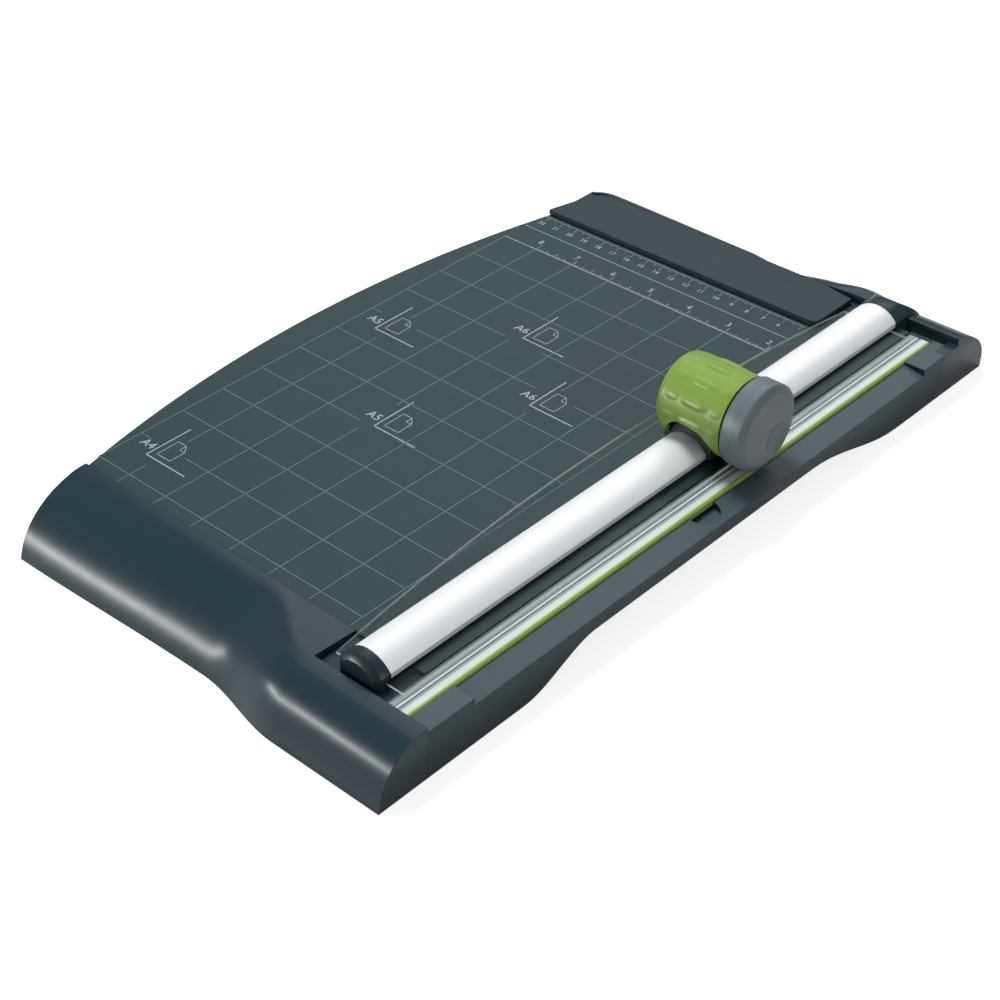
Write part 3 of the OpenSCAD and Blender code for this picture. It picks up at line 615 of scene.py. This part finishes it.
# ---------------------------------------------------------------- rail and its cap
def build_rail():
    outer = [(RAIL_L, RAIL_Z), (RAIL_R, RAIL_Z)]
    outer += [(RAIL_R, SLOT_Z), (RAIL_R - SLOT_D, SLOT_Z), (RAIL_R - SLOT_D, SLOT_Z + SLOT_H)]
    outer += [(RAIL_R, SLOT_Z + SLOT_H)] + dome_points(0.0, 64) + [(RAIL_L, SLOT_Z + SLOT_H)]
    outer += [(RAIL_L + SLOT_D, SLOT_Z + SLOT_H), (RAIL_L + SLOT_D, SLOT_Z), (RAIL_L, SLOT_Z)]
    body = prism_y("rail_section", outer, RAIL_NEAR, RAIL_FAR)
    return finish_piece(body, RAIL_M, "base", ["rail"])


def build_cap():
    """Near cap: its front edge is rounded off."""
    rings = []
    y0 = RAIL_NEAR - CAP_L
    bevel = ((0, 2.6), (0.25, 2.2), (1.6, 0.75), (2.3, 0.25), (3.1, 0), (CAP_L, 0))
    for dy, inset in bevel:
        y, g = y0 + dy, 0.4 - inset
        low = RECESS_Z
        ring = [(RAIL_L - g, y, low), (RAIL_R + g, y, low)]
        ring += [(x, y, z) for x, z in dome_points(g, 40)]
        rings.append(ring)
    body = rings_to_solid("rail_cap", rings)
    tongue = block(
        "tongue", RAIL_L + 2.4, RAIL_R - 2.4, RAIL_NEAR - 0.5, RAIL_NEAR + 9,
        RAIL_Z + 1.4, RAIL_Z + 4.4,
    )
    boolean(body, tongue, "UNION")
    slot = block(
        "slot", RAIL_L - 2, RAIL_R + 2, RAIL_NEAR - 2.9, RAIL_NEAR + 1, CLAMP_Z - 0.1, RAIL_Z
    )
    boolean(body, slot)
    place = (RAIL_X, RAIL_NEAR - CAP_L + 2.6)
    boolean(body, rod("bore", 1.5, "z", place, RECESS_Z - 1, RAIL_Z + 4, 32))
    return finish_piece(body, CAP, "base", ["rail_near_cap"])


# ---------------------------------------------------------------- carriage head
def grip(x, angle):
    """Height of the grip bumps at a place along the barrel and an angle from its top."""
    columns = ((CUT - 18.0, 8.6, 0.8), (CUT - 30.5, 4.6, 0.35), (CUT - 6.2, 3.4, 0.35))
    total = 0.0
    for row in range(-2, 4):
        centre = 3.0 + 29.3 * row
        for cx, half, high in columns:
            u = abs(x - cx) / half
            v = (angle - centre) / 7.5
            if abs(v) < 1.3 and u < 1.2:
                d = (u**3 + abs(v) ** 2.2) ** 0.4
                total += high * (1 - smooth((d - 0.3) / 0.7))
    return total


def build_head_cover():
    edge = 5.0
    profile = [(BARREL_L, r) for r in (4.0, 8.0, 12.0, 15.0)]
    for a in range(0, 91, 9):
        t = math.radians(a)
        profile.append((BARREL_L + edge - edge * math.cos(t), 16.4 + edge * math.sin(t) - 1.0))
    steps = 110
    x_start = BARREL_L + edge
    for i in range(1, steps + 1):
        t = i / steps
        x = mix(x_start, BARREL_END - 0.8, t)
        crown = 20.4 + 0.85 * math.sin(math.pi * (0.12 + 0.8 * t)) ** 0.8
        profile.append((x, min(crown, 21.3)))
    last = profile[-1][1]
    profile += [(BARREL_END - 0.6, last - 0.1), (BARREL_END - 0.5, last - 0.4)]
    profile += [(BARREL_END - 0.45, last - 1.8), (BARREL_END, last - 1.9)]
    profile += [(BARREL_END, 15.0), (BARREL_END, 6.0)]
    n = 320
    verts = []
    for x, r in profile:
        for i in range(n):
            t = 2 * math.pi * i / n
            deg = math.degrees(t)
            deg = deg - 360 if deg > 180 else deg
            rr = r
            if r > 19 and BARREL_L + 3 < x < BARREL_END - 0.7:
                rr = min(r - 0.55 + grip(x, deg), 21.4)
            verts.append((x, HEAD_Y - rr * math.sin(t), AXIS_Z + rr * math.cos(t)))
    ends = [(profile[0][0], HEAD_Y, AXIS_Z), (profile[-1][0], HEAD_Y, AXIS_Z)]
    body = capped_rings("green_cover", verts, n, ends)
    inner_end = BARREL_END - 3.0
    inside = [(BARREL_L + 1.3, 12.0), (BARREL_L + 2.4, 15.0), (BARREL_L + 4.5, 17.6)]
    inside += [(BARREL_L + 7, 18.4), (inner_end, 18.4)]
    boolean(body, lathe_x("inside", inside, HEAD_Y, AXIS_Z, 96))
    boolean(body, rod("arch", ARCH_R, "y", (ARCH_X, ARCH_Z), HEAD_Y - 30, HEAD_Y + 30, 128))
    boolean(body, block("leg_l", ARCH_LEFT, ARCH_X, HEAD_Y - 30, HEAD_Y + 30, 0, ARCH_LEG))
    boolean(body, block("leg_r", ARCH_X - 1, ARCH_X + ARCH_R, HEAD_Y - 30, HEAD_Y + 30, 0, ARCH_Z))
    boolean(body, block("low", BARREL_L - 1, BARREL_END + 1, HEAD_Y - 30, HEAD_Y + 30, 0, HEAD_LOW))
    place = (HEAD_Y, AXLE_Z)
    boolean(body, rod("axle_hole", AXLE_R, "x", place, inner_end - 1, BARREL_END + 1, 32))
    for s in (-1, 1):
        spot = (HEAD_Y + 10 * s, BED_H + 19.8 + 1.7 + 5)
        boolean(body, rod("screw_hole", 1.25, "x", spot, inner_end - 1, BARREL_END + 1, 24))
        boolean(body, rod("screw_head", 2.5, "x", spot, BARREL_END - 1.6, BARREL_END + 1, 24))
    return finish_piece(body, GREEN, "head", ["head_cover"], angle=38)


def build_housing():
    profile = [(DISC_IN, 8.0), (DISC_IN, DISC_R - 1.9), (DISC_IN + 0.75, DISC_R - 1.8)]
    profile += [(DISC_IN + 0.8, DISC_R - 0.35), (DISC_IN + 0.9, DISC_R - 0.1)]
    profile += [(DISC_IN + 1.2, DISC_R), (DISC_SPLIT, DISC_R), (DISC_SPLIT, 8.0)]
    body = lathe_x("disc_back", profile, HEAD_Y, AXIS_Z, 256)
    boolean(body, rod("cavity", 15.2, "x", (HEAD_Y, AXLE_Z), DISC_IN + 0.7, DISC_SPLIT + 1, 128))
    boolean(body, rod("axle_hole", AXLE_R, "x", (HEAD_Y, AXLE_Z), DISC_IN - 1, DISC_IN + 2, 32))
    return finish_piece(body, GREY, "head", ["blade_housing"])


def build_disc():
    """Outer half of the housing: rounded rim, flat face, shallow hollow low on its far side."""
    w = DISC_OUT
    profile = [(DISC_SPLIT, 8.0), (DISC_SPLIT, DISC_R), (w - 2.7, DISC_R)]
    profile += [(w - 2.3, 21.42), (w - 1.95, 21.2), (w - 1.7, 20.85), (w - 1.5, 20.5)]
    profile += [(w - 0.25, 18.3), (w - 0.06, 17.8), (w, 17.2)]
    profile += [(w, 12.0), (w, 4.0)]
    body = lathe_x("disc_front", profile, HEAD_Y, AXIS_Z, 256)
    ball, deep = 20.0, 1.7
    hollow = arc(w - deep + ball, 0, ball, 180, 105, 60)
    hollow = [(x, r) for x, r in hollow if r > 0.2] + [(w + 15, 3.0)]
    boolean(body, lathe_x("hollow", hollow, HEAD_Y + 6.5, AXIS_Z - 7.5, 160))
    place = (HEAD_Y, AXLE_Z)
    boolean(body, rod("axle_hole", AXLE_R, "x", place, DISC_SPLIT - 1, DISC_SPLIT + 1.2, 32))
    return finish_piece(body, GREY, "head", ["housing_cap"], angle=20)


# ---------------------------------------------------------------- print on the bed
INK_T = 0.03
GRID_LINE, SHEET_LINE, CORNER_LINE = 0.42, 0.32, 0.6


class Print:
    """Collects thin printed strokes in one mesh."""

    def __init__(self):
        self.verts, self.faces = [], []

    def stroke(self, x0, y0, x1, y1, width):
        length = math.hypot(x1 - x0, y1 - y0)
        if length < 1e-6:
            return
        nx, ny = -(y1 - y0) / length * width / 2, (x1 - x0) / length * width / 2
        base = len(self.verts)
        for z in (BED_H, BED_H + INK_T):
            self.verts += [(x0 + nx, y0 + ny, z), (x1 + nx, y1 + ny, z)]
            self.verts += [(x1 - nx, y1 - ny, z), (x0 - nx, y0 - ny, z)]
        sides = [(i, (i + 1) % 4, (i + 1) % 4 + 4, i + 4) for i in range(4)]
        for f in [(3, 2, 1, 0), (4, 5, 6, 7)] + sides:
            self.faces.append(tuple(base + i for i in f))

    def piece(self, name, mat):
        obj = outward(new_object(name, self.verts, self.faces))
        return finish_piece(obj, mat, "base")


INCH = 25.4
GRID_NEAR = BED_NEAR + 8.2
RULER_IN, RULER_MID, RULER_OUT = STOP_Y - 33.4, STOP_Y - 17.0, STOP_Y - 1.2
BORDER_X = CUT - 225.3
GRID_RIGHT = CUT - 50.8


ICONS = [(210, 297, "A4"), (210, 148, "A5"), (148, 210, "A5"), (148, 105, "A6"), (105, 148, "A6")]


def blanked(x, y):
    """True where an icon of a paper size interrupts the grid."""
    for across, along, _ in ICONS:
        px, py = CUT - across, STOP_Y - along
        if px - 9 < x < px + 16 and py - 6 < y < py + 19:
            return True
    return False


def free_runs(low, high, is_free, step=1.0):
    """Stretches between two places where a line may be printed, found in steps."""
    runs, start, at = [], None, low
    while at < high:
        free = is_free(at)
        if free and start is None:
            start = at
        if start is not None and (not free or at + step >= high):
            runs.append((start, high if free else at))
            start = None
        at += step
    return runs


def build_grid():
    lines = Print()
    for x in [CUT - INCH * k for k in range(2, 9)] + [BORDER_X]:
        for a, b in free_runs(BED_NEAR + 1.0, RULER_IN, lambda y: not blanked(x, y)):
            lines.stroke(x, a, x, b, GRID_LINE)
    for k in range(0, 11):
        y = GRID_NEAR + INCH * k
        for a, b in free_runs(BORDER_X, GRID_RIGHT, lambda x: not blanked(x, y)):
            lines.stroke(a, y, b, y, GRID_LINE)
    return lines.piece("grid_lines", INK_SOFT)


def build_ruler():
    """Inch and centimetre rulers, and a corner with a folded sheet for each paper size."""
    ink = Print()
    arm = 27.0
    for y, w in ((RULER_IN, 0.45), (RULER_MID, 0.35)):
        ink.stroke(BORDER_X, y, GRID_RIGHT + 2, y, w)
    for k in range(0, 8 * 16 + 1):
        x = CUT - k * INCH / 16
        if not BORDER_X + 1 < x < GRID_RIGHT + 2:
            continue
        size = 5.2 if k % 16 == 0 else 3.6 if k % 8 == 0 else 2.4 if k % 4 == 0 else 1.5
        ink.stroke(x, RULER_IN, x, RULER_IN + size, 0.28)
    for mm in range(0, 226):
        x = CUT - mm
        if not BORDER_X + 1 < x < GRID_RIGHT + 2:
            continue
        size = 5.0 if mm % 10 == 0 else 3.2 if mm % 5 == 0 else 1.8
        ink.stroke(x, RULER_OUT, x, RULER_OUT - size, 0.24)
    for across, along, _ in ICONS:
        px, py = CUT - across, STOP_Y - along
        ink.stroke(px, py, px + arm, py, CORNER_LINE)
        ink.stroke(px, py - CORNER_LINE / 2, px, py + arm, CORNER_LINE)
        left, right, fold_x = px + 3.5, px + 12.5, px + 9.0
        low, high, fold_y = py + 3.5, py + 16.5, py + 12.5
        sheet = [(left, low), (right, low), (right, fold_y), (fold_x, high), (left, high)]
        for a, b in zip(sheet, sheet[1:] + sheet[:1]):
            ink.stroke(a[0], a[1], b[0], b[1], SHEET_LINE)
        ink.stroke(fold_x, high, fold_x, fold_y, SHEET_LINE)
        ink.stroke(fold_x, fold_y, right, fold_y, SHEET_LINE)
    return ink.piece("ruler_ticks", INK)


def text_mesh(words):
    """One mesh of all the printed figures; each word is (string, x, y, size, turn)."""
    parts = []
    for string, x, y, size, turn in words:
        curve = bpy.data.curves.new("word", "FONT")
        curve.body = string
        curve.size = size * MM
        curve.extrude = INK_T / 2 * MM
        curve.align_x, curve.align_y = "CENTER", "CENTER"
        curve.resolution_u = 2
        obj = bpy.data.objects.new("word", curve)
        bpy.context.scene.collection.objects.link(obj)
        obj.location = (x * MM, y * MM, (BED_H + INK_T / 2) * MM)
        obj.rotation_euler = (0, 0, math.radians(turn))
        parts.append(obj)
    bpy.context.view_layer.update()
    graph = bpy.context.evaluated_depsgraph_get()
    verts, faces = [], []
    for obj in parts:
        mesh = bpy.data.meshes.new_from_object(obj.evaluated_get(graph))
        base = len(verts)
        verts += [tuple((obj.matrix_world @ v.co) / MM) for v in mesh.vertices]
        faces += [tuple(base + i for i in p.vertices) for p in mesh.polygons]
        bpy.data.meshes.remove(mesh)
        bpy.data.objects.remove(obj)
    return new_object("printed_figures", verts, faces)


def build_figures():
    words = []
    for k in range(2, 9):
        words.append((str(k), CUT - INCH * k - 2.6, RULER_IN + 7.4, 5.4, 0))
    for c in range(6, 23):
        x = CUT - 10 * c
        if BORDER_X + 3 < x < GRID_RIGHT:
            words.append((str(c), x, RULER_OUT - 8.2, 4.2, 0))
    for across, along, label in ICONS:
        words.append((label, CUT - across - 5.8, STOP_Y - along + 6.0, 7.2, 0))
    obj = text_mesh(words)
    return finish_piece(obj, INK, "base")


# ---------------------------------------------------------------- build everything
build_near_cover()
build_far_cover()
build_rail()
build_cap()
build_head_cover()
build_housing()
build_disc()
build_grid()
build_ruler()
build_figures()

CAD_MATERIALS = {
    "bed_plate": BED, "chassis": LEDGE, "near_base_plate": PAN, "far_base_plate": PAN,
    "paper_stop": STOP, "cutting_strip": STRIP, "clamp_strip": CLEAR, "rail_far_plug": CAP,
    "rail_far_post": STOP, "rail_screws": STEEL, "base_screws": STEEL, "rubber_feet": RUBBER,
    "carriage_saddle": SADDLE, "glide_pads": ACETAL, "guide_posts": STEEL, "return_spring": SPRING,
    "head_carrier": SADDLE, "carrier_screws": STEEL, "blade_axle": STEEL, "axle_clip": STEEL,
    "blade_hub": HUB, "blade": BLADE,
}
for node_name, mat in CAD_MATERIALS.items():
    mesh = CAD[node_name].data
    mesh.materials.clear()
    mesh.materials.append(mat)

# ---------------------------------------------------------------- stage, light, camera, in metres
FLOOR_HALF = 6
floor_mesh = bpy.data.meshes.new("floor")
corners = [(a * FLOOR_HALF, b * FLOOR_HALF, 0) for a, b in ((-1, -1), (1, -1), (1, 1), (-1, 1))]
floor_mesh.from_pydata(corners, [], [(0, 1, 2, 3)])
floor = bpy.data.objects.new("floor", floor_mesh)
bpy.context.scene.collection.objects.link(floor)
floor.location.z = -0.0002
fm = Mat("floor")
fm.bsdf.inputs["Base Color"].default_value = (0.42, 0.43, 0.44, 1)
fm.bsdf.inputs["Roughness"].default_value = 0.9
fm.bsdf.inputs["Specular IOR Level"].default_value = 0.1
fm.bsdf.inputs["Emission Color"].default_value = (1, 1, 1, 1)
seen = fm.nodes.new("ShaderNodeLightPath")
fm.link(fm.ramp(seen.outputs["Is Camera Ray"], 0.12, 0.8), fm.bsdf.inputs["Emission Strength"])
floor_mesh.materials.append(fm.mat)

world = bpy.data.worlds.new("studio")
bpy.context.scene.world = world
world.use_nodes = True
wt = world.node_tree
background = wt.nodes["Background"]
path = wt.nodes.new("ShaderNodeLightPath")
shine = wt.nodes.new("ShaderNodeMapRange")
shine.inputs["To Min"].default_value = 0.34
shine.inputs["To Max"].default_value = 0.16
wt.links.new(path.outputs["Is Glossy Ray"], shine.inputs["Value"])
strength = wt.nodes.new("ShaderNodeMapRange")
strength.inputs["To Max"].default_value = 1.0
wt.links.new(path.outputs["Is Camera Ray"], strength.inputs["Value"])
wt.links.new(shine.outputs["Result"], strength.inputs["To Min"])
wt.links.new(strength.outputs["Result"], background.inputs["Strength"])
background.inputs["Color"].default_value = (1, 1, 1, 1)


def softbox(name, place, target, size, power, diffuse=True, glossy=True):
    data = bpy.data.lights.new(name, "AREA")
    data.shape, data.size, data.size_y = "RECTANGLE", size[0], size[1]
    data.energy = power
    obj = bpy.data.objects.new(name, data)
    bpy.context.scene.collection.objects.link(obj)
    obj.location = place
    obj.rotation_euler = (Vector(target) - Vector(place)).to_track_quat("-Z", "Y").to_euler()
    obj.visible_diffuse, obj.visible_glossy = diffuse, glossy


softbox("key", (-0.42, 0.12, 1.45), (0, 0, 0), (0.55, 0.55), 27, glossy=False)
softbox("sheen", (-0.45, 0.95, 1.15), (0, 0, 0), (1.5, 1.2), 7, diffuse=False)
softbox("side", (1.2, -0.1, 0.5), (0, 0, 0), (0.5, 0.5), 3)
softbox("front", (-0.80, -1.20, 0.30), (0, -0.2, 0), (0.8, 0.075), 11)

scene = bpy.context.scene
scene.view_settings.view_transform = "Standard"
az, el, roll = (math.radians(v) for v in (42.85, 36.39, -0.527))
back = Vector((math.sin(az) * math.cos(el), -math.cos(az) * math.cos(el), math.sin(el)))
right = Vector((0, 0, 1)).cross(back).normalized()
up = back.cross(right)
cam_x = right * math.cos(roll) + up * math.sin(roll)
cam_y = up * math.cos(roll) - right * math.sin(roll)
cam_data = bpy.data.cameras.new("camera")
cam_data.lens, cam_data.sensor_width = 73.9, 36.0
cam_data.clip_start, cam_data.clip_end = 0.01, 50.0
camera = bpy.data.objects.new("camera", cam_data)
bpy.context.scene.collection.objects.link(camera)
turn = Matrix((cam_x, cam_y, back)).transposed().to_4x4()
camera.matrix_world = Matrix.Translation((0.55285, -0.6048, 0.5745)) @ turn
bpy.context.scene.camera = camera
